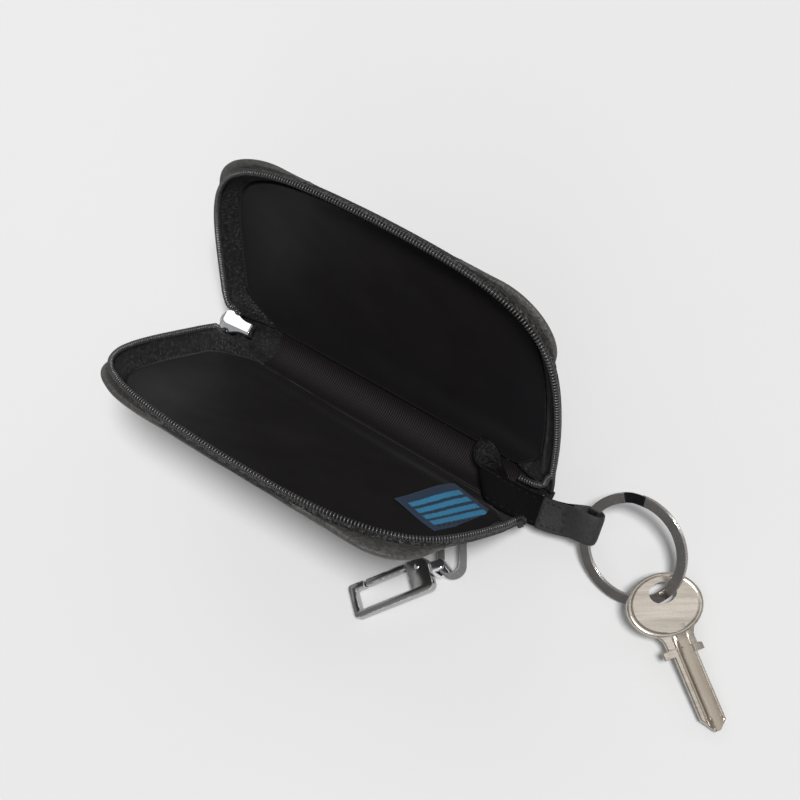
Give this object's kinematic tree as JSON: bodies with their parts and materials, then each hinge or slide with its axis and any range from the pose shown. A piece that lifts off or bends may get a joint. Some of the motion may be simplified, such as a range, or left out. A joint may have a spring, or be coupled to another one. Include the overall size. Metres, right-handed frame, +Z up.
{
  "type": "key_case",
  "caption": "Zip-around soft key case standing open in a V, with a key on a split ring on an inner leather strap and a small swivel carabiner on an outer loop.",
  "frame": {"origin": "on the floor plane under the hinge line, half way along the case", "axes": "+X along the spine towards the key strap, +Y towards the back half, +Z up out of the open V"},
  "size_m": [0.2044, 0.1032, 0.075],
  "materials": {
    "case_leather": "fine-grained black, low sheen",
    "board": "hidden stiffener",
    "lining": "smooth black cloth",
    "zip_tape": "woven herringbone tape",
    "zip_coil": "black nylon",
    "label": "navy weave with pale bars",
    "spine_ribbon": "ribbed grosgrain",
    "strap_leather": "black, edge stitched",
    "ring_steel": "dark gunmetal plate",
    "key_nickel": "brushed nickel plate",
    "polished": "polished",
    "gunmetal": "dark plate, lighter worn edges"
  },
  "bodies": {
    "front_half": {"lower_cover": "case_leather", "lower_board": "board", "lower_lining": "lining", "lower_zip_tape": "zip_tape", "lower_zip_coil": "zip_coil", "woven_label": "label", "spine_cover": "case_leather", "spine_strip": "spine_ribbon", "strap_root": "strap_leather", "strap_inner": "strap_leather", "clip_tab": "strap_leather"},
    "back_half": {"upper_cover": "case_leather", "upper_board": "board", "upper_lining": "lining", "upper_zip_tape": "zip_tape", "upper_zip_coil": "zip_coil"},
    "slider": {"zip_slider": "polished", "slider_bridge": "polished"},
    "puller": {"pull_link": "polished", "pull_tab": "polished"},
    "strap_end": {"strap_loop": "strap_leather"},
    "ring": {"split_ring": "ring_steel"},
    "house_key": {"key": "key_nickel"},
    "leather_loop": {"clip_loop": "strap_leather"},
    "bail": {"clip_bail": "polished"},
    "carabiner": {"clip_frame": "gunmetal", "swivel_stud": "polished", "gate_pin": "gunmetal", "gate_spring": "polished"},
    "gate": {"clip_gate": "gunmetal"}
  },
  "joints": [
    {"name": "lid_hinge", "type": "hinge", "parent": "front_half", "child": "back_half", "pos_m": [0, 0, 0.0086], "axis": [1, 0, 0], "range_deg": [-29, 60]},
    {"name": "slider_travel", "type": "slide", "parent": "front_half", "child": "slider", "axis": [-1, 0, 0], "range_m": [0, 0.004]},
    {"name": "puller_swing", "type": "hinge", "parent": "slider", "child": "puller", "pos_m": [-0.0609, 0, 0.0034], "axis": [0, 0, 1], "range_deg": [-50, 0]},
    {"name": "strap_bend", "type": "hinge", "parent": "front_half", "child": "strap_end", "pos_m": [0.0665, -0.003, 0.00915], "axis": [0, -1, 0], "range_deg": [-5, 30]},
    {"name": "ring_swing", "type": "hinge", "parent": "strap_end", "child": "ring", "pos_m": [0.07716, -0.00025, 0.01107], "axis": [0, -0.836, -0.5488], "range_deg": [0, 40]},
    {"name": "key_swing", "type": "hinge", "parent": "ring", "child": "house_key", "pos_m": [0.10587, -0.00531, 0.00621], "axis": [-0.4531, -0.7561, -0.4722], "range_deg": [0, 25]},
    {"name": "loop_bend", "type": "hinge", "parent": "front_half", "child": "leather_loop", "pos_m": [0.036, -0.015, 0.00485], "axis": [0, 0, 1], "range_deg": [-10, 10]},
    {"name": "bail_swing", "type": "hinge", "parent": "leather_loop", "child": "bail", "pos_m": [0.0452, -0.0296, 0.00485], "axis": [0, 0, 1], "range_deg": [-18, 60]},
    {"name": "carabiner_swivel", "type": "hinge", "parent": "bail", "child": "carabiner", "pos_m": [0.04098, -0.03441, 0.00485], "axis": [0.6547, 0.7471, 0.1149], "continuous": true},
    {"name": "gate_swing", "type": "hinge", "parent": "carabiner", "child": "gate", "pos_m": [0.03629, -0.03506, 0.00444], "axis": [-0.0758, -0.0864, 0.9934], "range_deg": [0, 14], "stiffness_Nm_per_rad": 0.003, "springref_deg": -11.46}
  ]
}
